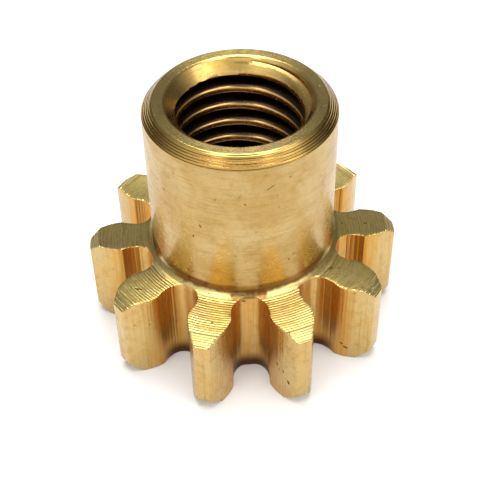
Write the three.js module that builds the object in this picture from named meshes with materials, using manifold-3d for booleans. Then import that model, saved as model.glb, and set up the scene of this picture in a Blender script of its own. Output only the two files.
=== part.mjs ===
// Brass spur pinion with a long turned hub and a threaded through bore.
// One piece of bar stock: the gear rim, the hub and the internal thread are a single solid.
// Units are millimetres. +Z runs along the bore from the gear's flat face to the hub's end face.
// The origin is on the bore axis in the gear's flat face.

import * as THREE from 'three';
import * as BufferGeometryUtils from 'three/addons/utils/BufferGeometryUtils.js';
import Module from 'manifold-3d';

// Gear teeth, cut by a rack cutter of this basic profile
const TOOTH_COUNT = 10;
const GEAR_MODULE = 2.25;
const PRESSURE_ANGLE = THREE.MathUtils.degToRad(17.5);
const PROFILE_SHIFT = 0.03;
const CUTTER_DEPTH = 1.25 * GEAR_MODULE;
const CUTTER_TIP_RADIUS = 0.3 * GEAR_MODULE;
const TIP_DIAMETER = 27.3;

// Turned body
const GEAR_WIDTH = 8.6;
const HUB_LENGTH = 14.3;
const HUB_DIAMETER = 16;
const HUB_CHAMFER = 0.9;
const HUB_FILLET = 0.8;
const UPPER_TIP_CHAMFER = 0.7;
const LOWER_TIP_CHAMFER = 1.0;

// M12 x 1.75 internal thread with a countersink at each mouth
const THREAD_PITCH = 1.75;
const THREAD_MAJOR_DIAMETER = 12.1;
const THREAD_MINOR_DIAMETER = 10.3;
const THREAD_ROOT_FLAT = THREAD_PITCH / 8;
const THREAD_FLANK_ANGLE = THREE.MathUtils.degToRad(30);
const THREAD_START_ANGLE = THREE.MathUtils.degToRad(138.6);
const COUNTERSINK_DIAMETER = 12.35;
const COUNTERSINK_DEPTH = 1.2;

// Facets
const TURNED_SEGMENTS = 120;
const BORE_SEGMENTS = 32;
const FILLET_STEPS = 3;
const TROCHOID_STEPS = 12;
const INVOLUTE_STEPS = 5;

const OVERCUT = 1;
const TIP_TRIM = 0.2;
const TOTAL_HEIGHT = GEAR_WIDTH + HUB_LENGTH;

const wasm = await Module();
wasm.setup();

function toSolid(geometry) {
  const bare = geometry.clone();
  bare.deleteAttribute('normal');
  bare.deleteAttribute('uv');
  const merged = BufferGeometryUtils.mergeVertices(bare, 1e-5);
  return new wasm.Manifold(new wasm.Mesh({
    numProp: 3,
    vertProperties: new Float32Array(merged.attributes.position.array),
    triVerts: new Uint32Array(merged.index.array),
  }));
}

function toGeometry(solid) {
  const mesh = solid.getMesh();
  const geometry = new THREE.BufferGeometry();
  geometry.setAttribute('position', new THREE.Float32BufferAttribute(mesh.vertProperties, 3));
  geometry.setIndex(new THREE.Uint32BufferAttribute(mesh.triVerts, 1));
  geometry.computeVertexNormals();
  return geometry;
}

// A solid of revolution about Z from (radius, height) pairs listed bottom to top.
function turned(profile, segments) {
  const points = profile.map(([radius, height]) => new THREE.Vector2(radius, height));
  const geometry = new THREE.LatheGeometry(points, segments);
  geometry.rotateX(Math.PI / 2);
  return toSolid(geometry);
}

function polar(radius, angle) {
  return new THREE.Vector2(radius * Math.cos(angle), radius * Math.sin(angle));
}

function involute(angle) {
  return Math.tan(angle) - angle;
}

// Half of one tooth space, as {radius, angle} pairs measured from the middle of the space,
// from the root outwards. The cutter's rounded corner leaves a trochoid that undercuts the
// flank, and the cutter's straight side leaves the involute above it.
function halfSpace(outerRadius) {
  const pitchRadius = GEAR_MODULE * TOOTH_COUNT / 2;
  const baseRadius = pitchRadius * Math.cos(PRESSURE_ANGLE);
  const cornerDepth = CUTTER_DEPTH - CUTTER_TIP_RADIUS;
  const cornerOffset = Math.PI * GEAR_MODULE / 4 - cornerDepth * Math.tan(PRESSURE_ANGLE)
    - CUTTER_TIP_RADIUS / Math.cos(PRESSURE_ANGLE);
  const cornerDrop = cornerDepth - PROFILE_SHIFT * GEAR_MODULE;
  const toothAngle = (Math.PI / 2 + 2 * PROFILE_SHIFT * Math.tan(PRESSURE_ANGLE)) / TOOTH_COUNT
    + involute(PRESSURE_ANGLE);
  const flankAngle = (radius) => Math.PI / TOOTH_COUNT - toothAngle
    + involute(Math.acos(baseRadius / radius));

  const points = [];
  const rollStart = -cornerOffset / pitchRadius;
  const rollEnd = (cornerDrop / Math.tan(PRESSURE_ANGLE) - cornerOffset) / pitchRadius;
  for (let step = 0; step <= TROCHOID_STEPS; step += 1) {
    const roll = THREE.MathUtils.lerp(rollStart, rollEnd, step / TROCHOID_STEPS);
    const corner = new THREE.Vector2(cornerOffset + pitchRadius * roll, -cornerDrop);
    const contact = corner.clone().add(corner.clone().setLength(CUTTER_TIP_RADIUS));
    contact.y += pitchRadius;
    const radius = contact.length();
    const angle = Math.atan2(contact.x, contact.y) - roll;
    if (radius > baseRadius && angle < flankAngle(radius)) {
      break;
    }
    points.push({ radius, angle });
  }
  const flankStart = Math.max(points[points.length - 1].radius, baseRadius);
  for (let step = 1; step <= INVOLUTE_STEPS; step += 1) {
    const radius = THREE.MathUtils.lerp(flankStart, outerRadius, step / INVOLUTE_STEPS);
    points.push({ radius, angle: flankAngle(radius) });
  }
  return points;
}

// The gear's cross-section, tooth tips left long so that the turned body trims them.
function gearOutline() {
  const half = halfSpace(TIP_DIAMETER / 2 + TIP_TRIM);
  const outline = [];
  for (let space = 0; space < TOOTH_COUNT; space += 1) {
    const middle = (2 * space + 1) * Math.PI / TOOTH_COUNT;
    const leading = half.map(({ radius, angle }) => polar(radius, middle - angle)).reverse();
    const trailing = half.map(({ radius, angle }) => polar(radius, middle + angle));
    outline.push(...leading, ...trailing);
  }
  return new THREE.Shape(outline);
}

function turnedBody() {
  const tip = TIP_DIAMETER / 2;
  const hub = HUB_DIAMETER / 2;
  const profile = [
    [0, 0],
    [tip - LOWER_TIP_CHAMFER, 0],
    [tip, LOWER_TIP_CHAMFER],
    [tip, GEAR_WIDTH - UPPER_TIP_CHAMFER],
    [tip - UPPER_TIP_CHAMFER, GEAR_WIDTH],
  ];
  for (let step = 0; step <= FILLET_STEPS; step += 1) {
    const angle = Math.PI / 2 * step / FILLET_STEPS;
    profile.push([
      hub + HUB_FILLET * (1 - Math.sin(angle)),
      GEAR_WIDTH + HUB_FILLET * (1 - Math.cos(angle)),
    ]);
  }
  profile.push([hub, TOTAL_HEIGHT - HUB_CHAMFER]);
  profile.push([hub - HUB_CHAMFER, TOTAL_HEIGHT]);
  profile.push([0, TOTAL_HEIGHT]);
  return turned(profile, TURNED_SEGMENTS);
}

function gearPrism() {
  const geometry = new THREE.ExtrudeGeometry(gearOutline(), {
    depth: TOTAL_HEIGHT + 2 * OVERCUT,
    bevelEnabled: false,
  });
  geometry.translate(0, 0, -OVERCUT);
  return toSolid(geometry);
}

function boreCutter() {
  const minor = THREAD_MINOR_DIAMETER / 2;
  const mouth = COUNTERSINK_DIAMETER / 2;
  return turned([
    [0, -OVERCUT],
    [mouth, -OVERCUT],
    [mouth, 0],
    [minor, COUNTERSINK_DEPTH],
    [minor, TOTAL_HEIGHT - COUNTERSINK_DEPTH],
    [mouth, TOTAL_HEIGHT],
    [mouth, TOTAL_HEIGHT + OVERCUT],
    [0, TOTAL_HEIGHT + OVERCUT],
  ], BORE_SEGMENTS);
}

// The right-hand helical groove: a truncated V swept round the axis from below the gear's
// face to above the hub's end. Its middle crosses the hub's end plane at THREAD_START_ANGLE.
function threadCutter() {
  const inner = THREAD_MINOR_DIAMETER / 2 - 0.4;
  const outer = THREAD_MAJOR_DIAMETER / 2;
  const rootHalf = THREAD_ROOT_FLAT / 2;
  const mouthHalf = rootHalf + (outer - inner) * Math.tan(THREAD_FLANK_ANGLE);
  const section = [[inner, -mouthHalf], [outer, -rootHalf], [outer, rootHalf], [inner, mouthHalf]];

  const facet = 2 * Math.PI / BORE_SEGMENTS;
  const travel = TOTAL_HEIGHT + 2 * OVERCUT;
  const steps = Math.ceil(travel / THREAD_PITCH * BORE_SEGMENTS);
  const topStep = Math.round((THREAD_START_ANGLE + OVERCUT / THREAD_PITCH * 2 * Math.PI) / facet);

  const positions = [];
  for (let step = 0; step <= steps; step += 1) {
    const angle = (topStep - steps + step) * facet;
    const middle = TOTAL_HEIGHT + THREAD_PITCH * (angle - THREAD_START_ANGLE) / (2 * Math.PI);
    for (const [radius, height] of section) {
      const point = polar(radius, angle);
      positions.push(point.x, point.y, middle + height);
    }
  }

  const corners = section.length;
  const indices = [];
  for (let step = 0; step < steps; step += 1) {
    for (let corner = 0; corner < corners; corner += 1) {
      const a = step * corners + corner;
      const b = step * corners + (corner + 1) % corners;
      const c = a + corners;
      const d = b + corners;
      indices.push(a, c, b, b, c, d);
    }
  }
  const last = steps * corners;
  indices.push(0, 1, 2, 0, 2, 3);
  indices.push(last, last + 2, last + 1, last, last + 3, last + 2);

  const geometry = new THREE.BufferGeometry();
  geometry.setAttribute('position', new THREE.Float32BufferAttribute(positions, 3));
  geometry.setIndex(indices);
  return toSolid(geometry);
}

const brass = new THREE.MeshStandardMaterial({
  name: 'brass',
  color: 0xc8a465,
  roughness: 0.32,
  metalness: 1,
});

const body = turnedBody().intersect(gearPrism()).subtract(boreCutter()).subtract(threadCutter());
const pinion = new THREE.Mesh(toGeometry(body), brass);
pinion.name = 'pinion';

const group = new THREE.Group();
group.name = 'threaded_spur_pinion';
group.add(pinion);

export default group;
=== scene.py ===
"""A small brass spur pinion with a turned hub and a threaded bore, on a pale floor in a pale room.

One fine mesh stands for the CAD node. It is built in rows around the bore axis, in millimetres,
from the same dimensions as the CAD solid, and is scaled to metres when the mesh is made.
"""

import math

import bmesh
import bpy
import numpy as np
from mathutils import Matrix, Vector


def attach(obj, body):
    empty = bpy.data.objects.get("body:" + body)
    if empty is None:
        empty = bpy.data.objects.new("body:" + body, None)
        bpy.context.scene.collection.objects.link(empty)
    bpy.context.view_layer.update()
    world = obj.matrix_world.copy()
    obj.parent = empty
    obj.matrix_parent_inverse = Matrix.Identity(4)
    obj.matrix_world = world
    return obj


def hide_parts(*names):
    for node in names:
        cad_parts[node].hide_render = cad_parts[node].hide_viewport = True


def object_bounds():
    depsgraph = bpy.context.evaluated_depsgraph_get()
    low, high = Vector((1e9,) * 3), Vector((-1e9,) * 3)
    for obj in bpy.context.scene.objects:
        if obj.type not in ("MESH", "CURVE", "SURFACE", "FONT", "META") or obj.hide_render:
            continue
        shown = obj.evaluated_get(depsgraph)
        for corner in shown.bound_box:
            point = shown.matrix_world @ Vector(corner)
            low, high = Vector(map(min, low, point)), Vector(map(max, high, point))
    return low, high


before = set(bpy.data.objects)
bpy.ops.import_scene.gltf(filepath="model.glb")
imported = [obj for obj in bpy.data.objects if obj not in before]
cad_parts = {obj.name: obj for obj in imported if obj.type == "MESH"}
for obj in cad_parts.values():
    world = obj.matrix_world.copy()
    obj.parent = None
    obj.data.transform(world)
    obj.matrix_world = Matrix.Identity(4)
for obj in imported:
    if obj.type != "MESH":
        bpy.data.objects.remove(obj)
cad_low, cad_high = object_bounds()

rng = np.random.default_rng(41)

# ---------------------------------------------------------------- dimensions, mm
MM = 0.001

# gear teeth, cut by a rack cutter of this basic profile
TEETH = 10
SECTOR = 2 * math.pi / TEETH
MODULE = 2.25
PRESSURE_ANGLE = math.radians(17.5)
PROFILE_SHIFT = 0.03
CUTTER_DEPTH = 1.25 * MODULE
CUTTER_TIP = 0.3 * MODULE
TIP_R = 13.65

# turned body
GEAR_Z = 8.6
TOP_Z = 22.9
HUB_R = 8.0
HUB_CHAMFER = 0.9
FILLET = 0.8
UPPER_CHAMFER = 0.72            # along the axis
UPPER_CHAMFER_REACH = 0.85      # towards the axis
LOWER_CHAMFER = 1.0
RING_DISH = 0.022               # the hub's end face falls by this much towards the bore

# internal thread with a countersink at each mouth
PITCH = 1.75
MAJOR_R = 6.05
MINOR_R = 5.15
ROOT_FLAT = PITCH / 8
THREAD_FLANK_TAN = math.tan(math.radians(30))
THREAD_START = math.radians(138.6)
MOUTH_R = 6.175
SINK_DEPTH = 1.2
CREST_ROUNDING = 0.30
GROOVE_START = 0.32             # the groove begins this far below the end face
GROOVE_DEEPENING = 0.8          # and goes in by this much for each millimetre of depth
WALL_START = 0.11               # the bore's wall begins this far below the end face

# broken edges
EDGE = 0.035                    # round the tooth outline
LAND_EDGE = 0.045               # above and below the tip lands, and at the lower mouth
EDGE_BEND = 0.3                 # where the middle of a broken edge lies, as a share of its width
CORNER = 0.05                   # a flank's last column lies this far inside the tip radius
CORNER_CLEAR = 0.07             # and the column before it at least this far
MOUTH_EDGE = ((0.075, 0.022), (0.030, 0.034), (-0.020, 0.062))  # beyond the mouth, below the face
HUB_EDGE = ((0.004, -0.05), (0.03, 0.008))      # inside the hub wall, above the chamfer's foot
RING_EDGE = (0.015, 0.006)      # inside the chamfer's upper end, below the face

# tool marks: depths in mm, and the number of rows from one mark to the next
ROW_STEP = 0.05
FEED_ROWS = 5
FACE_MARK = 0.022
NEAR_HUB_R = 9.6
NEAR_HUB_GAIN = 1.5
CONE_MARK = 0.060
CONE_ROWS = 3
CONE_MARGIN = 0.02
LOWER_MARK = 0.010
RING_MARK = 0.004
RING_ROWS = 3
RING_MARGIN = 0.11              # the ring's marks stop this far outside the mouth
TEAR = 0.013                    # the metal left torn at random on the upper side
TEAR_FROM_ROW = 5
DIE_LINE = 0.015
DIE_LINE_GRAIN = 0.002
DIE_LINE_SHIFT = 0.008
DIE_LINE_RADII = (9.6, 11.0)    # the lines are deepest inside the first and shallow beyond the second
DIE_LINE_SHARES = (1.0, 1.0, 0.35, 0.2)
BURR_REACH = 0.07               # burrs stand where the groove is this near to the countersink's cone
BURR_CHANCE = 0.2
BURR_HEIGHT = 0.035
WALL_WAVE = 0.003
HUB_MARK_DEPTHS = (0.010, 0.016, 0.012, 0.018, 0.010, 0.014)
HUB_MARKS = len(HUB_MARK_DEPTHS)
HUB_MARK_SHAPE = ((0.12, 0.0), (0.32, 0.75), (0.55, 1.0), (0.8, 0.45), (0.98, 0.0))
HUB_MARK_SPAN = (0.07, 0.95)    # the share of the chamfer's width that carries them
DIAGONAL = 0.707                # the chamfer's marks go in square to its slope
MARK_SPREAD = (0.55, 1.35)      # the depth of one mark, as a share of the mean
MARK_SHAPES = {3: (0.0, -1.0, -0.72), 5: (0.0, -0.72, -1.0, -0.86, -0.42)}

# ---------------------------------------------------------------- mesh density
ROOT_SAMPLES = 300
FLANK_SAMPLES = 160
TOOTH_COLUMNS = 12
ROOT_COLUMNS = 2
FILLET_ROWS = 8
FACED_FILLET = 0.7              # the share of the fillet that the facing tool cut
WALL_ROWS = 45
WALL_TOP_GAP = 0.12
LOWER_FACE_ROWS = 11
ACROSS = np.linspace(-1, 1, TOOTH_COLUMNS + 1)
LEVELS = np.array([0, 0.04, 0.35, 0.65, 0.96, 1.0])     # rows up a flank, as shares of its height
# rows up the bore's wall, from the middle of one groove to the next
THREAD_ROWS = (0.0, 0.11, 0.22, 0.34, 0.46, 0.54, 0.59, 0.64, 0.71, 0.875,
               1.04, 1.11, 1.16, 1.21, 1.29, 1.41, 1.53, 1.64)


# ---------------------------------------------------------------- tooth outline
def involute(angle):
    return math.tan(angle) - angle


def space_curve():
    """Half a tooth space as (radius, angle from its middle), finely sampled, from the root outwards."""
    pitch_r = MODULE * TEETH / 2
    base_r = pitch_r * math.cos(PRESSURE_ANGLE)
    corner_depth = CUTTER_DEPTH - CUTTER_TIP
    corner_offset = (
        math.pi * MODULE / 4
        - corner_depth * math.tan(PRESSURE_ANGLE)
        - CUTTER_TIP / math.cos(PRESSURE_ANGLE)
    )
    corner_drop = corner_depth - PROFILE_SHIFT * MODULE
    half_tooth = (
        math.pi / 2 + 2 * PROFILE_SHIFT * math.tan(PRESSURE_ANGLE)
    ) / TEETH + involute(PRESSURE_ANGLE)

    def flank(radius):
        return math.pi / TEETH - half_tooth + involute(math.acos(base_r / radius))

    points = []
    start = -corner_offset / pitch_r
    end = (corner_drop / math.tan(PRESSURE_ANGLE) - corner_offset) / pitch_r
    for t in np.linspace(0, 1, ROOT_SAMPLES):
        roll = start + (end - start) * t
        cx, cy = corner_offset + pitch_r * roll, -corner_drop
        k = 1 + CUTTER_TIP / math.hypot(cx, cy)
        x, y = cx * k, cy * k + pitch_r
        radius = math.hypot(x, y)
        angle = math.atan2(x, y) - roll
        if radius > base_r and angle < flank(radius):
            break
        points.append((radius, angle))
    first = max(points[-1][0], base_r)
    for radius in np.linspace(first, TIP_R, FLANK_SAMPLES)[1:]:
        points.append((radius, flank(radius)))
    return np.array(points)


def outline_rows():
    """Radii and half tooth angles of a flank's columns, root to tip, and the tip land's half angle."""
    curve = space_curve()
    r, half = curve[:, 0], SECTOR / 2 - curve[:, 1]
    x, y = r * np.cos(half), r * np.sin(half)
    arc = np.concatenate([[0], np.cumsum(np.hypot(np.diff(x), np.diff(y)))])
    # Each column is one row step further out, or less where the curve runs round the root corner.
    reach, least_slope = 0.02, 0.35
    picks = [0.0]
    while picks[-1] < arc[-1]:
        here, ahead = np.interp((picks[-1], picks[-1] + reach), arc, r)
        picks.append(picks[-1] + ROW_STEP / max((ahead - here) / reach, least_slope))
    radii, halves = np.interp(picks, arc, r), np.interp(picks, arc, half)
    # The last column stops short of the tip land, which breaks the corner between them.
    keep = radii < TIP_R - CORNER_CLEAR
    radii = np.append(radii[keep], TIP_R - CORNER)
    halves = np.append(halves[keep], np.interp(TIP_R - CORNER, r, half))
    return radii, halves, half[-1]


ROW_R, ROW_HALF, TIP_HALF = outline_rows()
ROOT_R = ROW_R[0]
ROWS = len(ROW_R)


def inset_rows(amount):
    """The flank's columns moved into the tooth by amount, as (radius, half angle)."""
    x, y = ROW_R * np.cos(ROW_HALF), ROW_R * np.sin(ROW_HALF)
    tx, ty = np.gradient(x), np.gradient(y)
    length = np.hypot(tx, ty)
    nx, ny = -ty / length, tx / length
    # The tooth's middle line is y = 0, so the normal that points into the tooth has a negative y.
    flip = np.where(ny > 0, -1.0, 1.0)
    inward = np.stack([nx * flip, ny * flip], 1)
    # The first column borders the root land, where inwards is towards the axis.
    inward[0] = (-math.cos(ROW_HALF[0]), -math.sin(ROW_HALF[0]))
    px, py = x + inward[:, 0] * amount, y + inward[:, 1] * amount
    radius = np.hypot(px, py)
    radius = np.maximum.accumulate(radius + np.arange(len(radius)) * 1e-6)
    return radius, np.arctan2(py, px)


IN_R, IN_HALF = inset_rows(EDGE)
BEND_R, BEND_HALF = inset_rows(EDGE * EDGE_BEND)
FOOT_R = IN_R[0]                # where the hub's fillet meets the root lands


# ---------------------------------------------------------------- turned profile
def height_top(radius):
    """Height of the gear's upper side at a radius outside the hub."""
    chamfer_start = TIP_R - UPPER_CHAMFER_REACH
    if radius >= chamfer_start:
        return GEAR_Z - (radius - chamfer_start) * UPPER_CHAMFER / UPPER_CHAMFER_REACH
    if radius >= HUB_R + FILLET:
        return GEAR_Z
    s = 1 - (radius - HUB_R) / FILLET
    return GEAR_Z + FILLET * (1 - math.sqrt(max(0.0, 1 - s * s)))


def height_bottom(radius):
    return max(0.0, radius - (TIP_R - LOWER_CHAMFER))


def wall_heights(low, high, edge):
    """Heights of a wall's rows, from the top of its lower broken edge to the foot of its upper one."""
    return low + edge + (high - low - 2 * edge) * LEVELS


# ---------------------------------------------------------------- mesh store
class Store:
    """Vertices in mm, faces, and the zone of each face, which picks its material."""

    def __init__(self):
        self.points, self.faces, self.zones = [], [], []

    def polar(self, radius, angle, z):
        self.points.append((radius * math.cos(angle), radius * math.sin(angle), z))
        return len(self.points) - 1

    def ring(self, radius, z):
        return [self.polar(radius, angle, z) for angle in ANGLES]

    def face(self, zone, *corners):
        self.faces.append(corners)
        self.zones.append(zone)

    def strip(self, a, b, zone, closed=False):
        """Quads between two equally long rows of vertices."""
        n = len(a)
        for i in range(n if closed else n - 1):
            j = (i + 1) % n
            self.face(zone, a[i], a[j], b[j], b[i])


FACED, TURNED, FLANK, THREAD, CHAMFER, RING = range(6)
store = Store()


def feed_marks(rows, depth, period=FEED_ROWS):
    """Heights of concentric feed marks for a run of rows: a crest, then a hollow, every period rows."""
    out = np.zeros(rows)
    level = 0.0
    for i in range(rows):
        if i % period == 0:
            level = depth * rng.uniform(*MARK_SPREAD)
        out[i] = MARK_SHAPES[period][i % period] * level
    return out


# ---------------------------------------------------------------- teeth
def side_marks():
    """Feed marks of the teeth's upper and lower sides, the same on every tooth."""
    upper, lower = np.zeros(ROWS), np.zeros(ROWS)
    cone_start = TIP_R - UPPER_CHAMFER_REACH - CONE_MARGIN
    flat = (IN_R > HUB_R + FILLET) & (IN_R < cone_start)
    upper[flat] = feed_marks(int(flat.sum()), FACE_MARK)
    upper[flat & (IN_R < NEAR_HUB_R)] *= NEAR_HUB_GAIN
    cone = IN_R >= cone_start
    upper[cone] = feed_marks(int(cone.sum()), CONE_MARK, CONE_ROWS)
    flat_low = (IN_R > ROOT_R) & (IN_R < TIP_R - LOWER_CHAMFER - CONE_MARGIN)
    lower[flat_low] = -feed_marks(int(flat_low.sum()), LOWER_MARK)
    return upper, lower


def die_lines():
    """How far each column of one flank stands in, all the way down. Deepest in the undercut."""
    noise = np.convolve(rng.normal(0, 1, ROWS + 2), (0.5, 1, 0.5), "valid") / 1.4
    strength = np.interp(ROW_R, (ROOT_R, *DIE_LINE_RADII, TIP_R), DIE_LINE_SHARES)
    depth = noise * DIE_LINE * strength + rng.normal(0, DIE_LINE_GRAIN, ROWS)
    depth = np.minimum(depth - DIE_LINE_SHIFT, 0)
    depth[:2] = 0
    return depth


def tooth_side(middle, lines, heights, torn):
    """Rows of vertices across the upper or the lower side of a tooth, root to tip."""
    rows = []
    for i, radius in enumerate(IN_R):
        row = []
        for s in ACROSS:
            half = IN_HALF[i] + lines[-1 if s < 0 else 1][i] / radius * abs(s)
            drop = rng.uniform(0.0, TEAR) if torn and i >= TEAR_FROM_ROW else 0.0
            row.append(store.polar(radius, middle + s * half, heights[i] - drop))
        rows.append(row)
    return rows


def add_flank(middle, side, lines, marks, up_rows, low_rows, land):
    """One flank of a tooth, joined to the tooth's sides and tip land by broken edges."""

    def point(i, z, radii=ROW_R, halves=ROW_HALF):
        return store.polar(radii[i], middle + side * (halves[i] + lines[i] / radii[i]), z)

    grid, over, under = [], [], []
    for i in range(ROWS):
        z_top = height_top(ROW_R[i]) + marks[i]
        z_low = height_bottom(ROW_R[i])
        grid.append([point(i, z) for z in wall_heights(z_low, z_top, EDGE)])
        over.append(point(i, z_top - EDGE * EDGE_BEND, BEND_R, BEND_HALF))
        under.append(point(i, z_low + EDGE * EDGE_BEND, BEND_R, BEND_HALF))

    edge = 0 if side < 0 else -1
    border_up = [row[edge] for row in up_rows]
    border_low = [row[edge] for row in low_rows]
    bottoms = [column[0] for column in grid]
    tops = [column[-1] for column in grid]
    for i in range(ROWS - 1):
        a, b = (i, i + 1) if side > 0 else (i + 1, i)
        store.strip(grid[a], grid[b], FLANK)
        for lower, upper in ((border_low, under), (under, bottoms), (tops, over), (over, border_up)):
            store.face(FLANK, lower[a], lower[b], upper[b], upper[a])

    # from the last column to the tip land
    land_edge = [row[edge] for row in land]
    last = grid[-1]
    if side > 0:
        store.strip(last, land_edge, FLANK)
        store.face(FLANK, last[-1], land_edge[-1], border_up[-1], over[-1])
        store.face(FLANK, land_edge[0], last[0], under[-1], border_low[-1])
    else:
        store.strip(land_edge, last, FLANK)
        store.face(FLANK, land_edge[-1], last[-1], over[-1], border_up[-1])
        store.face(FLANK, last[0], land_edge[0], border_low[-1], under[-1])


def root_angles(middle):
    return np.linspace(middle + ROW_HALF[0], middle + SECTOR - ROW_HALF[0], ROOT_COLUMNS + 1)


def add_root(middle):
    """The root land after a tooth. Returns its inner vertices on the upper and the lower side."""
    arc = root_angles(middle)
    top = height_top(ROOT_R)
    wall = [[store.polar(ROOT_R, a, z) for z in wall_heights(0.0, top, EDGE)] for a in arc]
    over = [store.polar(BEND_R[0], a, top - EDGE * EDGE_BEND) for a in arc]
    under = [store.polar(BEND_R[0], a, EDGE * EDGE_BEND) for a in arc]
    up = [store.polar(FOOT_R, a, height_top(FOOT_R)) for a in arc]
    low = [store.polar(FOOT_R, a, 0.0) for a in arc]
    for left, right in zip(wall, wall[1:]):
        store.strip(left, right, FLANK)
    store.strip([column[-1] for column in wall], over, FLANK)
    store.strip(over, up, FLANK)
    store.strip(under, [column[0] for column in wall], FLANK)
    store.strip(low, under, FLANK)
    return up[:-1], low[:-1]


def build_gear():
    """The ten teeth. Returns the innermost ring of vertices of the upper and the lower side."""
    marks_up, marks_low = side_marks()
    heights_up = [height_top(radius) + mark for radius, mark in zip(IN_R, marks_up)]
    heights_low = [height_bottom(radius) + mark for radius, mark in zip(IN_R, marks_low)]
    land_heights = wall_heights(height_bottom(TIP_R), height_top(TIP_R), LAND_EDGE)
    upper_inner, lower_inner = [], []
    for tooth in range(TEETH):
        middle = tooth * SECTOR
        lines = {side: die_lines() for side in (-1, 1)}
        up_rows = tooth_side(middle, lines, heights_up, torn=True)
        low_rows = tooth_side(middle, lines, heights_low, torn=False)
        for i in range(ROWS - 1):
            store.strip(up_rows[i], up_rows[i + 1], FACED)
            store.strip(low_rows[i + 1], low_rows[i], FACED)

        land_half = TIP_HALF - CORNER / TIP_R
        land = [[store.polar(TIP_R, middle + s * land_half, z) for s in ACROSS] for z in land_heights]
        for lower, upper in zip(land, land[1:]):
            store.strip(lower, upper, FLANK)
        store.strip(up_rows[-1], land[-1], CHAMFER)
        store.strip(land[0], low_rows[-1], FLANK)

        for side in (-1, 1):
            add_flank(middle, side, lines[side], marks_up, up_rows, low_rows, land)
        root_up, root_low = add_root(middle)
        upper_inner += up_rows[0][:-1] + root_up
        lower_inner += low_rows[0][:-1] + root_low
    return upper_inner, lower_inner


def column_angles():
    """Angles of the vertices round the hub and the bore, which carry on the teeth's columns."""
    angles = []
    for tooth in range(TEETH):
        middle = tooth * SECTOR
        angles += [middle + s * IN_HALF[0] for s in ACROSS[:-1]]
        angles += list(root_angles(middle)[:-1])
    return np.array(angles)


# ---------------------------------------------------------------- hub and lower face
def hub_profile():
    """(radius, height, zone) from the fillet's foot to the rounded edge of the bore's mouth."""
    profile = []
    start = math.asin(1 - (FOOT_R - HUB_R) / FILLET)
    for t in np.linspace(0, 1, FILLET_ROWS + 1)[1:]:
        a = start + (math.pi / 2 - start) * t
        zone = FACED if t < FACED_FILLET else TURNED
        profile.append((HUB_R + FILLET * (1 - math.sin(a)), GEAR_Z + FILLET * (1 - math.cos(a)), zone))

    # the wall has a slow waviness of a few microns and is always inside the nominal size
    base, top = GEAR_Z + FILLET, TOP_Z - HUB_CHAMFER
    for z in np.linspace(base, top - WALL_TOP_GAP, WALL_ROWS + 1)[1:]:
        profile.append((HUB_R - rng.uniform(0.0, WALL_WAVE), z, TURNED))
    for (inside, above), zone in zip(HUB_EDGE, (TURNED, CHAMFER)):
        profile.append((HUB_R - inside, top + above, zone))

    # the chamfer has a few coarse tool marks, cut square to its slope
    for mark, depth in enumerate(HUB_MARK_DEPTHS):
        for share, sink in HUB_MARK_SHAPE:
            t = (mark + share) / HUB_MARKS
            if HUB_MARK_SPAN[0] <= t <= HUB_MARK_SPAN[1]:
                r = HUB_R - HUB_CHAMFER * t - sink * depth * DIAGONAL
                z = top + HUB_CHAMFER * t - sink * depth * DIAGONAL
                profile.append((r, z, CHAMFER))
    inner = HUB_R - HUB_CHAMFER
    profile.append((inner - RING_EDGE[0], TOP_Z - RING_EDGE[1], CHAMFER))

    # the end face is a dished ring
    radii = [inner - ROW_STEP, *np.arange(inner - 2 * ROW_STEP, MOUTH_R + RING_MARGIN, -ROW_STEP)]
    for r, mark in zip(radii, feed_marks(len(radii), RING_MARK, RING_ROWS)):
        dish = RING_DISH * (inner - r) / (inner - MOUTH_R)
        profile.append((r, TOP_Z + mark - max(dish, 0.0), RING))
    for (beyond, below), zone in zip(MOUTH_EDGE, (RING, CHAMFER, CHAMFER)):
        profile.append((MOUTH_R + beyond, TOP_Z - below, zone))
    return profile


def build_hub(inner):
    """Fillet, hub wall, end chamfer and end face. Returns the ring of vertices at the bore's mouth."""
    previous = inner
    for radius, z, zone in hub_profile():
        row = store.ring(radius, z)
        store.strip(previous, row, zone, closed=True)
        previous = row
    return previous


def build_lower_face(inner):
    """The gear's lower side inside the root lands. Returns the ring of vertices at the bore's mouth."""
    previous = inner
    for radius in np.linspace(FOOT_R, MOUTH_R + LAND_EDGE, LOWER_FACE_ROWS + 1)[1:]:
        row = store.ring(radius, 0.0)
        store.strip(row, previous, FACED, closed=True)
        previous = row
    row = store.ring(MOUTH_R + LAND_EDGE * 0.25, LAND_EDGE * EDGE_BEND)
    store.strip(row, previous, FACED, closed=True)
    return row


# ---------------------------------------------------------------- threaded bore
def cone_radius(z):
    """Radius of the nearer countersink's cone at a height."""
    slope = (MOUTH_R - MINOR_R) / SINK_DEPTH
    return max(MOUTH_R - slope * (TOP_Z - z), MOUTH_R - slope * z)


def groove_height(angle):
    """Height of the middle of one turn of the groove."""
    return TOP_Z + PITCH * (angle - THREAD_START) / (2 * math.pi)


def thread_radius(angle, z):
    """Radius of the threaded wall. The groove's first half turn only scratches the countersink."""
    away = (z - groove_height(angle)) % PITCH
    away = min(away, PITCH - away)
    flank = (away - ROOT_FLAT / 2) / THREAD_FLANK_TAN
    below = min(TOP_Z - z, z)
    deepest = max(cone_radius(z), MINOR_R) + max(0.0, below - GROOVE_START) * GROOVE_DEEPENING
    cut = min(MAJOR_R, deepest) - max(0.0, flank)
    rounding = max(0.0, CREST_ROUNDING - abs(cut - MINOR_R)) ** 2 / (4 * CREST_ROUNDING)
    return max(MINOR_R, cut) + (rounding if below > SINK_DEPTH else 0.0)


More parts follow.
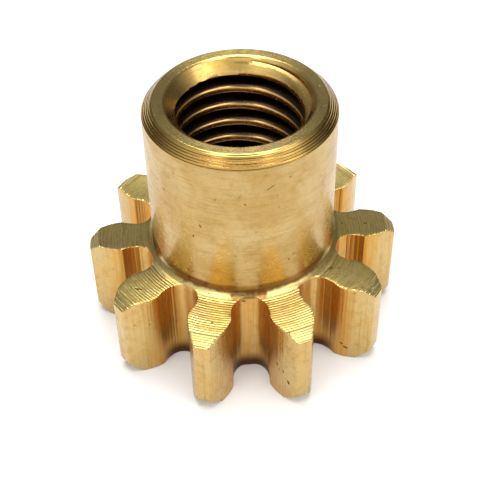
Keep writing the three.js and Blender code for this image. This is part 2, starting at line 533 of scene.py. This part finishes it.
def bore_radius(angle, z):
    """Radius of the bore's wall, with a small burr here and there where the groove meets the cone."""
    cut, cone = thread_radius(angle, z), cone_radius(z)
    radius = max(cut, cone, MINOR_R)
    if cone > MINOR_R and abs(cut - cone) < BURR_REACH and rng.random() < BURR_CHANCE:
        radius -= rng.uniform(0.0, BURR_HEIGHT)
    return radius


def build_thread(upper, lower):
    """The bore's wall as rows that follow the helix, cut off level at both mouths."""
    per_turn = len(THREAD_ROWS)
    z_min, z_max = LAND_EDGE, TOP_Z - WALL_START
    turns = math.ceil(TOP_Z / PITCH) + 2
    around = [angle % (2 * math.pi) for angle in ANGLES]
    heights, index = [], []
    for angle in around:
        base = groove_height(angle) - PITCH * turns
        column = []
        for turn in range(turns + 2):
            column += [min(max(base + turn * PITCH + row, z_min), z_max) for row in THREAD_ROWS]
        radii = [bore_radius(angle, z) for z in column]
        heights.append(column)
        index.append([
            store.polar(cone_radius(z) if z in (z_min, z_max) else radius, angle, z)
            for radius, z in zip(radii, column)
        ])
    total = len(heights[0])
    for i in range(len(around)):
        j = (i + 1) % len(around)
        # the column that follows may lie one turn on
        shift = per_turn if around[j] < around[i] else 0
        for k in range(total - 1 - shift):
            m = k + shift
            if heights[i][k] == heights[i][k + 1] and heights[j][m] == heights[j][m + 1]:
                continue
            store.face(THREAD, index[i][k], index[i][k + 1], index[j][m + 1], index[j][m])
    store.strip(upper, store.ring(cone_radius(z_max), z_max), THREAD, closed=True)
    store.strip(store.ring(cone_radius(z_min), z_min), lower, THREAD, closed=True)


# ---------------------------------------------------------------- mesh
MERGE_DISTANCE = 1e-7           # metres
DEGENERATE_LENGTH = 1e-8        # metres
LEVEL_TOLERANCE = 1e-7          # metres
ROUND_TOLERANCE = 4e-6          # metres
MARK_BEND = 3                   # degrees between the faces of a crisp tool mark
SHARP_ANGLE = math.radians(48)


def read(items, name, kind, width=1):
    """One property of every item of a mesh, as an array."""
    values = np.zeros(len(items) * width, kind)
    items.foreach_get(name, values)
    return values.reshape(-1, width) if width > 1 else values


def sharpen_marks(mesh):
    """Keeps the tool marks crisp: edges that run round the axis between two tilted faces are sharp."""
    ends = read(mesh.edges, "vertices", np.int32, 2)
    points = read(mesh.vertices, "co", float, 3)
    height = points[:, 2]
    radius = np.hypot(points[:, 0], points[:, 1])
    first, second = ends[:, 0], ends[:, 1]
    level = np.abs(height[first] - height[second]) < LEVEL_TOLERANCE
    round_axis = np.abs(radius[first] - radius[second]) < ROUND_TOLERANCE

    # the two faces at each edge
    loop_edges = read(mesh.loops, "edge_index", np.int32)
    face_of_loop = np.repeat(np.arange(len(mesh.polygons)), read(mesh.polygons, "loop_total", np.int32))
    order = np.argsort(loop_edges, kind="stable")
    at = np.searchsorted(loop_edges[order], np.arange(len(mesh.edges)))
    faces = face_of_loop[order]
    a, b = faces[at], faces[np.minimum(at + 1, len(faces) - 1)]
    normals = read(mesh.polygons, "normal", float, 3)
    bend = np.degrees(np.arccos(np.clip((normals[a] * normals[b]).sum(1), -1, 1)))
    zones = read(mesh.attributes["zone"].data, "value", np.int32)
    marked = np.isin(zones[a], (FACED, CHAMFER)) & np.isin(zones[b], (FACED, CHAMFER))
    fillet = (radius[first] < (HUB_R + FILLET) * MM) & (height[first] < (GEAR_Z + FILLET + 0.05) * MM)

    attribute = mesh.attributes.get("sharp_edge") or mesh.attributes.new("sharp_edge", "BOOLEAN", "EDGE")
    sharp = read(attribute.data, "value", bool)
    sharp |= level & round_axis & marked & (bend > MARK_BEND) & ~fillet
    attribute.data.foreach_set("value", sharp)


def make_mesh():
    mesh = bpy.data.meshes.new("pinion_surface")
    mesh.from_pydata([tuple(c * MM for c in point) for point in store.points], [], store.faces)
    mesh.attributes.new("zone", "INT", "FACE").data.foreach_set("value", store.zones)
    bm = bmesh.new()
    bm.from_mesh(mesh)
    bmesh.ops.remove_doubles(bm, verts=bm.verts, dist=MERGE_DISTANCE)
    bmesh.ops.dissolve_degenerate(bm, dist=DEGENERATE_LENGTH, edges=bm.edges)
    bmesh.ops.delete(bm, geom=[v for v in bm.verts if not v.link_faces], context="VERTS")
    bmesh.ops.recalc_face_normals(bm, faces=bm.faces)
    bmesh.ops.triangulate(bm, faces=[f for f in bm.faces if len(f.verts) > 4])
    bm.to_mesh(mesh)
    bm.free()
    for polygon in mesh.polygons:
        polygon.use_smooth = True
    mesh.set_sharp_from_angle(angle=SHARP_ANGLE)
    sharpen_marks(mesh)
    return mesh


ANGLES = column_angles()
upper_ring, lower_ring = build_gear()
upper_mouth = build_hub(upper_ring)
lower_mouth = build_lower_face(lower_ring)
build_thread(upper_mouth, lower_mouth)

pinion = bpy.data.objects.new("pinion_brass", make_mesh())
bpy.context.scene.collection.objects.link(pinion)


# ---------------------------------------------------------------- camera
ORBIT = 84.395                  # from the middle of the hub's end face, mm
ELEVATION = math.radians(35.95)
AZIMUTH = math.radians(-2.85)
PAN, TILT, ROLL = math.radians(-0.15), math.radians(-7.71), math.radians(-1.25)
LENS = 78.5
SENSOR = 36.0
CLIP = (0.005, 5.0)


def make_camera():
    """A camera on a sphere round the hub's end face, then panned, tilted and rolled."""
    back = Vector((
        math.cos(ELEVATION) * math.sin(AZIMUTH),
        -math.cos(ELEVATION) * math.cos(AZIMUTH),
        math.sin(ELEVATION),
    ))
    right = (-back).cross(Vector((0, 0, 1))).normalized()
    up = right.cross(-back)
    ahead = -back * math.cos(PAN) * math.cos(TILT) + right * math.sin(PAN) * math.cos(TILT)
    ahead = (ahead + up * math.sin(TILT)).normalized()
    level_right = ahead.cross(up).normalized()
    level_up = level_right.cross(ahead)
    rolled_right = level_right * math.cos(ROLL) + level_up * math.sin(ROLL)
    rolled_up = -level_right * math.sin(ROLL) + level_up * math.cos(ROLL)

    data = bpy.data.cameras.new("camera")
    data.lens = LENS
    data.sensor_width = SENSOR
    data.clip_start, data.clip_end = CLIP
    camera = bpy.data.objects.new("camera", data)
    matrix = Matrix((rolled_right, rolled_up, -ahead)).transposed().to_4x4()
    matrix.translation = Vector((0, 0, cad_high.z)) + back * ORBIT * MM
    camera.matrix_world = matrix
    bpy.context.scene.collection.objects.link(camera)
    bpy.context.scene.camera = camera


make_camera()


# ---------------------------------------------------------------- node helpers
class Nodes:
    """Short calls for building a node tree. A value is a number, a tuple or another node's output."""

    def __init__(self, tree):
        self.tree = tree
        tree.nodes.clear()

    def new(self, kind, **values):
        node = self.tree.nodes.new(kind)
        for key, value in values.items():
            setattr(node, key, value)
        return node

    def link(self, source, target):
        self.tree.links.new(source, target)

    def feed(self, socket, value):
        if hasattr(value, "is_output"):
            self.link(value, socket)
        else:
            socket.default_value = value

    def math(self, operation, a, b=None, clamp=False):
        node = self.new("ShaderNodeMath", operation=operation, use_clamp=clamp)
        for socket, value in zip(node.inputs, (a, b)):
            if value is not None:
                self.feed(socket, value)
        return node.outputs[0]

    def plus(self, a, b):
        return self.math("ADD", a, b)

    def minus(self, a, b):
        return self.math("SUBTRACT", a, b)

    def times(self, first, *others):
        for other in others:
            first = self.math("MULTIPLY", first, other)
        return first

    def vector_math(self, operation, a, b):
        node = self.new("ShaderNodeVectorMath", operation=operation)
        self.feed(node.inputs[0], a)
        self.feed(node.inputs["Scale"] if operation == "SCALE" else node.inputs[1], b)
        return node.outputs["Value" if operation in ("DOT_PRODUCT", "DISTANCE") else "Vector"]

    def vector(self, x, y, z):
        node = self.new("ShaderNodeCombineXYZ")
        for socket, value in zip(node.inputs, (x, y, z)):
            self.feed(socket, value)
        return node.outputs[0]

    def noise(self, vector, scale, detail, rough, distortion=0.0):
        node = self.new("ShaderNodeTexNoise")
        self.link(vector, node.inputs["Vector"])
        node.inputs["Scale"].default_value = scale
        node.inputs["Detail"].default_value = detail
        node.inputs["Roughness"].default_value = rough
        node.inputs["Distortion"].default_value = distortion
        return node.outputs["Fac"]

    def ramp(self, value, low, high, to_low=0.0, to_high=1.0):
        """A smooth step from to_low at low to to_high at high."""
        node = self.new("ShaderNodeMapRange", interpolation_type="SMOOTHSTEP")
        self.feed(node.inputs["Value"], value)
        limits = {"From Min": low, "From Max": high, "To Min": to_low, "To Max": to_high}
        for name, number in limits.items():
            node.inputs[name].default_value = number
        return node.outputs["Result"]

    def nick(self, place, start, end, width):
        """1 along the line from start to end, falling to 0 at width from it."""
        along = Vector(end) - Vector(start)
        offset = self.vector_math("SUBTRACT", place, start)
        dot = self.vector_math("DOT_PRODUCT", offset, along)
        share = self.math("MULTIPLY", dot, 1 / along.length_squared, clamp=True)
        nearest = self.vector_math("SCALE", along, share)
        return self.ramp(self.vector_math("DISTANCE", offset, nearest), width, width * 0.45)

    def mix(self, factor, a, b):
        """Colour a where factor is 0, colour b where it is 1."""
        node = self.new("ShaderNodeMix", data_type="RGBA", blend_type="MIX")
        self.feed(node.inputs["Factor"], factor)
        for name, value in (("A", a), ("B", b)):
            socket = [s for s in node.inputs if s.name == name and s.type == "RGBA"][0]
            self.feed(socket, value)
        return [s for s in node.outputs if s.type == "RGBA"][0]


# ---------------------------------------------------------------- brass colours and marks
BRASS_DEEP = (0.34, 0.20, 0.050, 1)
BRASS_PALE = (0.56, 0.405, 0.17, 1)
TARNISH = (0.14, 0.06, 0.015, 1)
FACED_BRASS = (0.67, 0.535, 0.180, 1)
FACED_PALE = (0.64, 0.50, 0.210, 1)
HUB_BRASS = (0.47, 0.305, 0.106, 1)
HUB_PALE = (0.54, 0.390, 0.172, 1)
# painted reflection of the brass teeth in the lower hub
HUB_REFLECTED_GOLD = (0.41, 0.235, 0.042, 1)
SINK_BRASS = (0.62, 0.42, 0.12, 1)
FLANK_BRASS = (0.565, 0.375, 0.135, 1)
CREST_BRASS = (0.56, 0.34, 0.115, 1)
CHAMFER_GOLD = (0.50, 0.345, 0.100, 1)
# painted shade and painted reflection of brass between the teeth, in the undercut and the root
ROOT_SHADE_BROWN = (0.62, 0.29, 0.035, 1)
# painted shade in the corner at the hub's foot; also the colour of the brown smears there
CORNER_SHADE_AND_STAIN_BROWN = (0.16, 0.06, 0.015, 1)
# painted contact shade at the foot of the tooth spaces
FOOT_SHADE_BROWN = (0.075, 0.028, 0.010, 1)
# painted shade in the grooves of the hub's end chamfer
CHAMFER_GROOVE_SHADE = (0.20, 0.07, 0.012, 1)
# painted shade in the thread's groove
THREAD_GROOVE_SHADE = (0.024, 0.016, 0.013, 1)

# Each machined surface: its two main colours, roughness, anisotropy, bump height in mm, how much of
# the bump is lines and how much is grain, and how far its lines are squeezed in the plane and across.
FINISHES = {
    "faced": dict(main=FACED_BRASS, pale=FACED_PALE, rough=0.31, brushed=0.75, bump=0.010,
                  lines=0.5, grain=0.25, plane=0.45, across=6.0),
    "turned": dict(main=HUB_BRASS, pale=HUB_PALE, rough=0.29, brushed=0.4, bump=0.018,
                   lines=0.8, grain=0.15, plane=0.35, across=6.0),
    "flank": dict(main=FLANK_BRASS, pale=BRASS_PALE, rough=0.27, brushed=0.0, bump=0.022,
                  lines=1.0, grain=0.08, plane=4.5, across=0.12),
    "thread": dict(main=SINK_BRASS, pale=BRASS_PALE, rough=0.24, brushed=0.0, bump=0.010,
                   lines=0.5, grain=0.25, plane=0.35, across=6.0),
    "chamfer": dict(main=FACED_BRASS, pale=BRASS_PALE, rough=0.21, brushed=0.5, bump=0.010,
                    lines=0.5, grain=0.25, plane=0.45, across=6.0),
    "ring": dict(main=FACED_BRASS, pale=BRASS_PALE, rough=0.25, brushed=0.75, bump=0.010,
                 lines=0.5, grain=0.25, plane=0.45, across=6.0),
}

# brown marks at the hub's foot: two ends and a reach, in mm. The first, on the fillet above the front
# tooth space, is painted shade; the other two are smears.
FOOT_STAINS_AND_SHADE = (
    ((-1.20, -8.30, 8.85), (1.20, -8.30, 8.85), 0.55),
    ((-7.90, -1.60, 9.60), (-7.45, -3.00, 9.40), 0.75),
    ((-4.90, -6.50, 9.30), (-3.60, -7.30, 9.30), 0.40),
)
# the flanks carry only the first, the painted shade above the front tooth space
STAINS_AND_SHADE = {"faced": FOOT_STAINS_AND_SHADE, "turned": FOOT_STAINS_AND_SHADE, "flank": FOOT_STAINS_AND_SHADE[:1]}

# small dents and scratches: two ends and a width, in mm
NICKS = {
    "flank": (
        ((2.09, -11.69, 3.84), (2.14, -11.74, 3.70), 0.11),
        ((2.56, -12.25, 3.46), (2.60, -12.28, 3.30), 0.09),
        ((2.95, -12.65, 2.50), (3.02, -12.70, 2.25), 0.13),
        ((2.23, -11.86, 3.30), (2.27, -11.90, 3.20), 0.07),
        ((8.05, -8.03, 1.70), (8.20, -8.08, 1.62), 0.11),
        ((8.40, -8.17, 1.30), (8.60, -8.22, 1.20), 0.13),
        ((-8.48, -8.19, 5.79), (-8.50, -8.20, 5.70), 0.06),
        ((-0.60, -8.50, 8.36), (-0.35, -8.50, 8.30), 0.10),
    ),
    "faced": (
        ((-9.53, -6.58, 8.59), (-8.98, -6.72, 8.57), 0.09),
        ((7.20, -5.52, 8.58), (7.32, -5.46, 8.58), 0.11),
        ((8.93, 0.11, 8.57), (8.99, 0.11, 8.57), 0.10),
        ((10.92, -0.08, 8.58), (11.08, -0.08, 8.58), 0.11),
        ((2.95, -12.40, 8.50), (3.02, -12.46, 8.48), 0.09),
    ),
    "turned": (
        ((-4.97, -6.27, 10.27), (-4.88, -6.34, 10.20), 0.09),
        ((-4.60, -6.55, 10.30), (-4.48, -6.62, 10.26), 0.06),
        ((-3.75, -7.06, 15.86), (-3.68, -7.10, 15.72), 0.09),
        ((1.60, -7.84, 19.88), (2.12, -7.71, 20.20), 0.05),
        ((-0.98, -7.94, 9.86), (-0.90, -7.95, 9.80), 0.06),
        ((-0.20, -7.99, 18.62), (-0.10, -7.99, 18.58), 0.06),
        ((3.38, -7.25, 11.72), (3.46, -7.21, 11.66), 0.07),
    ),
    "ring": (
        ((6.50, 1.12, 22.9), (7.00, 0.95, 22.9), 0.05),
        ((6.30, -1.75, 22.9), (7.00, -1.45, 22.9), 0.05),
        ((-6.95, -1.60, 22.88), (-6.55, -1.75, 22.9), 0.05),
    ),
}

FEED = FEED_ROWS * ROW_STEP
FIRST_MARK_R = float(min(r for r in IN_R if r > HUB_R + FILLET))


# ---------------------------------------------------------------- brass
class Brass:
    """The node material of one machined surface: faced, turned, flank, thread, chamfer or ring."""

    def __init__(self, kind):
        self.kind = kind
        self.finish = FINISHES[kind]
        self.material = bpy.data.materials.new("brass_" + kind)
        self.material.use_nodes = True
        self.n = Nodes(self.material.node_tree)
        self.place_and_noise()
        self.undercut = self.n.times(
            self.n.ramp(self.radius, 12.8, 10.8),
            self.n.ramp(self.radius, 8.6, 9.4, 0.55, 1.0),
        ) if kind == "flank" else None
        self.pits = self.make_pits()
        self.make_shader()

    def place_and_noise(self):
        """Object coordinates in mm, and the noises that the colour, roughness and bump share."""
        n = self.n
        coordinates = n.new("ShaderNodeTexCoord").outputs["Object"]
        self.place = n.vector_math("SCALE", coordinates, 1 / MM)
        split = n.new("ShaderNodeSeparateXYZ")
        n.link(self.place, split.inputs[0])
        x, self.y, self.z = split.outputs
        self.radius = n.math("SQRT", n.plus(n.times(x, x), n.times(self.y, self.y)))

        # coordinates stretched along the tool's path turn noise into lines
        plane, across = self.finish["plane"], self.finish["across"]
        third = self.radius if self.kind in ("faced", "chamfer", "ring") else self.z
        path = n.vector(n.times(x, plane), n.times(self.y, plane), n.times(third, across))
        self.lines = n.noise(path, 1.0, 3.0, 0.6)
        self.fine = n.noise(path, 3.1, 2.0, 0.6)
        self.cloud = n.noise(self.place, 0.28, 4.0, 0.55, 0.3)
        self.mottle = n.noise(self.place, 1.3, 3.0, 0.6)
        self.grain = n.noise(self.place, 9.0, 2.0, 0.6)

    def make_pits(self):
        """1 in the scattered pits and the placed nicks."""
        n = self.n
        specks = n.noise(self.place, 2.6, 1.0, 0.4)
        pits = n.ramp(specks, 0.74 if self.kind == "turned" else 0.76, 0.82, 0.0, 0.75)
        for start, end, width in NICKS.get(self.kind, ()):
            pits = n.math("MAXIMUM", pits, n.nick(self.place, start, end, width))
        return pits

    def make_colour(self):
        """Clouds of paler and deeper metal, faint lines, then painted shade and painted reflection,
        stains and pits.
        """
        n = self.n
        colour = n.mix(n.ramp(self.cloud, 0.35, 0.68), self.finish["main"], self.finish["pale"])
        colour = n.mix(n.ramp(self.mottle, 0.46, 0.80, 0.0, 0.5), colour, BRASS_DEEP)
        line_strength = 0.7 if self.kind == "faced" else 0.4
        colour = n.mix(n.ramp(self.lines, 0.50, 0.70, 0.0, line_strength), colour, BRASS_DEEP)
        # painted shade in the hollows of the feed marks on the tooth faces
        if self.kind == "faced":
            colour = self.feed_mark_shade(colour)
        # painted shade and reflected brass in the undercut and the root
        if self.kind == "flank":
            colour = self.undercut_shade(colour)
        # painted shade along the top of the fillet, on the front
        if self.kind in ("turned", "faced"):
            colour = self.fillet_shade(colour)
        if self.kind == "turned":
            # painted reflection: the lower hub turns more golden towards the teeth, as if mirroring them
            colour = n.mix(n.ramp(self.z, 13.5, 10.0, 0.0, 0.28), colour, HUB_REFLECTED_GOLD)
        # a deeper gold, and painted shade in the chamfer's grooves
        if self.kind == "chamfer":
            colour = self.chamfer_gold_and_groove_shade(colour)
        # painted shade above the front tooth space, and brown smears at the hub's foot
        for start, end, width in STAINS_AND_SHADE.get(self.kind, ()):
            patchy = n.ramp(self.mottle, 0.35, 0.60, 0.7, 0.95)
            colour = n.mix(n.times(n.nick(self.place, start, end, width), patchy), colour, CORNER_SHADE_AND_STAIN_BROWN)
        colour = n.mix(self.pits, colour, TARNISH)
        # painted shade in the thread's groove
        if self.kind == "thread":
            colour = self.thread_shade(colour)
        return colour

    def feed_mark_shade(self, colour):
        """Faint painted shade in the hollow of each feed mark on the tooth faces."""
        n = self.n
        turn = n.times(n.minus(self.radius, FIRST_MARK_R + 0.10), 2 * math.pi / FEED)
        mark_shade = n.times(n.ramp(n.math("COSINE", turn), -0.2, 0.9), n.ramp(self.radius, 12.8, 12.7))
        return n.mix(n.times(mark_shade, n.ramp(self.grain, 0.30, 0.65, 0.45, 0.10)), colour, BRASS_DEEP)

    def undercut_shade(self, colour):
        """Painted shade in the undercut and the root: a deeper, more saturated brown in streaks stands
        for the shade and the brass reflected between the teeth, and near the lower edge a darker painted
        contact shade.
        """
        n = self.n
        streak = n.ramp(self.lines, 0.40, 0.58, 0.25, 1.0)
        colour = n.mix(n.times(self.undercut, streak, 0.95), colour, ROOT_SHADE_BROWN)
        # painted contact shade, darkest near the lower edge of the tooth spaces
        low = n.times(n.ramp(self.radius, 11.4, 9.4), n.ramp(self.z, 1.9, 0.4))
        return n.mix(n.times(low, 0.94), colour, FOOT_SHADE_BROWN)

    def fillet_shade(self, colour):
        """Painted shade along the top of the hub's fillet, on the front."""
        n = self.n
        level = n.plus(self.z, n.times(n.minus(self.mottle, 0.5), 0.5))
        band = n.times(n.ramp(level, 8.80, 8.98), n.ramp(level, 9.75, 9.35))
        near = n.times(n.ramp(self.radius, 8.75, 8.5), n.ramp(self.y, -3.5, -6.5, 0.0, 0.85))
        return n.mix(n.times(band, near), colour, CORNER_SHADE_AND_STAIN_BROWN)

    def chamfer_gold_and_groove_shade(self, colour):
        """A deeper gold on the hub's end chamfer, with painted shade on one side of each of its grooves.
        """
        n = self.n
        start = TOP_Z - HUB_CHAMFER
        colour = n.mix(n.ramp(self.z, TOP_Z - 1.4, TOP_Z - 0.95), colour, CHAMFER_GOLD)
        wave = n.math("SINE", n.times(n.minus(self.z, start), 2 * math.pi * HUB_MARKS / HUB_CHAMFER))
        groove = n.times(
            n.ramp(wave, 0.1, 0.9),
            n.ramp(self.z, start - 0.1, start),
            n.ramp(self.z, TOP_Z - 0.12, TOP_Z - 0.26),
            n.ramp(self.grain, 0.30, 0.60, 0.6, 1.0),
        )
        return n.mix(groove, colour, CHAMFER_GROOVE_SHADE)

    def thread_shade(self, colour):
        """Painted shade darkens the groove. The crests and the countersink stay bright."""
        n = self.n
        colour = n.mix(n.ramp(self.z, TOP_Z - 1.0, TOP_Z - 1.3), colour, CREST_BRASS)
        groove = n.ramp(self.radius, MINOR_R + 0.09, MINOR_R + 0.20)
        inside = n.times(n.ramp(self.z, 1.3, 1.5), n.ramp(self.z, TOP_Z - 1.05, TOP_Z - 1.35))
        return n.mix(n.times(groove, inside, 0.97), colour, THREAD_GROOVE_SHADE)

    def make_roughness(self):
        n = self.n
        rough = n.plus(self.finish["rough"], n.times(n.minus(self.mottle, 0.5), 0.16))
        rough = n.plus(rough, n.times(n.minus(self.lines, 0.5), 0.16))
        if self.undercut:
            rough = n.plus(rough, n.times(self.undercut, 0.11))
        return n.math("ADD", rough, n.times(self.pits, 0.3), clamp=True)

    def make_bump(self):
        n = self.n
        height = n.plus(n.times(self.lines, self.finish["lines"]), n.times(self.fine, 0.35))
        height = n.plus(height, n.times(self.grain, self.finish["grain"]))
        bump = n.new("ShaderNodeBump")
        bump.inputs["Strength"].default_value = 0.6
        bump.inputs["Distance"].default_value = self.finish["bump"] * MM
        n.link(n.minus(height, n.times(self.pits, 0.8)), bump.inputs["Height"])
        return bump.outputs[0]

    def make_shader(self):
        n = self.n
        shader = n.new("ShaderNodeBsdfPrincipled")
        shader.inputs["Metallic"].default_value = 1.0
        n.link(self.make_colour(), shader.inputs["Base Color"])
        n.link(self.make_roughness(), shader.inputs["Roughness"])
        n.link(self.make_bump(), shader.inputs["Normal"])
        if self.finish["brushed"]:
            shader.inputs["Anisotropic"].default_value = self.finish["brushed"]
            shader.inputs["Anisotropic Rotation"].default_value = 0.25
            tangent = n.new("ShaderNodeTangent", direction_type="RADIAL", axis="Z")
            n.link(tangent.outputs[0], shader.inputs["Tangent"])
        n.link(shader.outputs[0], n.new("ShaderNodeOutputMaterial").inputs["Surface"])


# the materials are in the order of the zones' numbers
for kind in ("faced", "turned", "flank", "thread", "chamfer", "ring"):
    pinion.data.materials.append(Brass(kind).material)
zone_attribute = pinion.data.attributes["zone"]
pinion.data.polygons.foreach_set("material_index", read(zone_attribute.data, "value", np.int32))
pinion.data.attributes.remove(zone_attribute)

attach(pinion, "root")
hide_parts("pinion")


# ---------------------------------------------------------------- floor
FLOOR_REACH = 3.0
FLOOR_DROP = 0.00002            # keeps the floor clear of the gear's lower face
FLOOR_GREY = (0.74, 0.74, 0.74, 1)
FLOOR_GLOW = (1.0, 0.99, 0.975, 1)
FLOOR_GLOW_STRENGTH = 0.08


def make_floor():
    corners = [(-1, -1), (1, -1), (1, 1), (-1, 1)]
    mesh = bpy.data.meshes.new("floor")
    mesh.from_pydata([(x * FLOOR_REACH, y * FLOOR_REACH, 0) for x, y in corners], [], [(0, 1, 2, 3)])
    floor = bpy.data.objects.new("floor", mesh)
    bpy.context.scene.collection.objects.link(floor)
    floor.location.z = cad_low.z - FLOOR_DROP
    material = bpy.data.materials.new("floor_white")
    material.use_nodes = True
    n = Nodes(material.node_tree)
    shader = n.new("ShaderNodeBsdfPrincipled")
    shader.inputs["Base Color"].default_value = FLOOR_GREY
    shader.inputs["Roughness"].default_value = 0.7
    shader.inputs["Specular IOR Level"].default_value = 0.2
    shader.inputs["Emission Color"].default_value = FLOOR_GLOW
    shader.inputs["Emission Strength"].default_value = FLOOR_GLOW_STRENGTH
    n.link(shader.outputs[0], n.new("ShaderNodeOutputMaterial").inputs["Surface"])
    mesh.materials.append(material)


make_floor()


# ---------------------------------------------------------------- light
# name, place and aim in metres, size in metres, and brightness as seen directly
SOFT_BOXES = (
    ("overhead", (-0.005, 0.05, 0.30), (0, 0.02, 0.01), (0.23, 0.25), 6.9),
    ("window_left", (-0.10, -0.12, 0.27), (0, 0, 0.02), (0.05, 0.05), 6.5),
    ("window_right", (0.10, -0.12, 0.27), (0, 0, 0.02), (0.05, 0.05), 7.5),
    ("side", (0.26, -0.14, 0.27), (0, 0, 0.015), (0.16, 0.16), 1.8),
)
ROOM_COLOUR = (1.0, 0.985, 0.96, 1)


def make_soft_box(name, place, aim, size, radiance):
    data = bpy.data.lights.new(name, "AREA")
    data.shape = "RECTANGLE"
    data.size, data.size_y = size
    data.energy = radiance * math.pi * size[0] * size[1]
    light = bpy.data.objects.new(name, data)
    light.location = place
    light.rotation_euler = (Vector(aim) - Vector(place)).to_track_quat("-Z", "Y").to_euler()
    bpy.context.scene.collection.objects.link(light)


def make_world():
    """A pale room: brighter in front and above, dimmer behind, with one dark shape high in front."""
    world = bpy.data.worlds.new("room")
    bpy.context.scene.world = world
    world.use_nodes = True
    n = Nodes(world.node_tree)
    direction = n.new("ShaderNodeTexCoord").outputs["Generated"]
    front = n.vector_math("DOT_PRODUCT", direction, (0, -1, 0))
    right = n.vector_math("DOT_PRODUCT", direction, (1, 0, 0))
    up = n.vector_math("DOT_PRODUCT", direction, (0, 0, 1))

    level = n.plus(n.times(n.ramp(front, -0.35, 0.6), 0.95), 0.26)
    level = n.minus(level, n.times(n.ramp(right, 0.2, 0.95), 0.10))
    level = n.times(level, n.ramp(up, 0.05, 0.5, 0.35, 1.0))
    dark = n.times(
        n.ramp(n.math("ABSOLUTE", n.plus(right, 0.03)), 0.30, 0.15),
        n.ramp(front, 0.0, 0.1),
        n.times(n.ramp(up, 0.68, 0.80), n.ramp(up, 0.985, 0.94)),
    )
    level = n.times(level, n.minus(1.0, n.times(dark, 0.92)))

    background = n.new("ShaderNodeBackground")
    background.inputs["Color"].default_value = ROOM_COLOUR
    n.link(level, background.inputs["Strength"])
    n.link(background.outputs[0], n.new("ShaderNodeOutputWorld").inputs["Surface"])


make_world()
for soft_box in SOFT_BOXES:
    make_soft_box(*soft_box)

view = bpy.context.scene.view_settings
view.view_transform = "Standard"
view.look = "None"
view.exposure = 0.0
view.gamma = 1.0
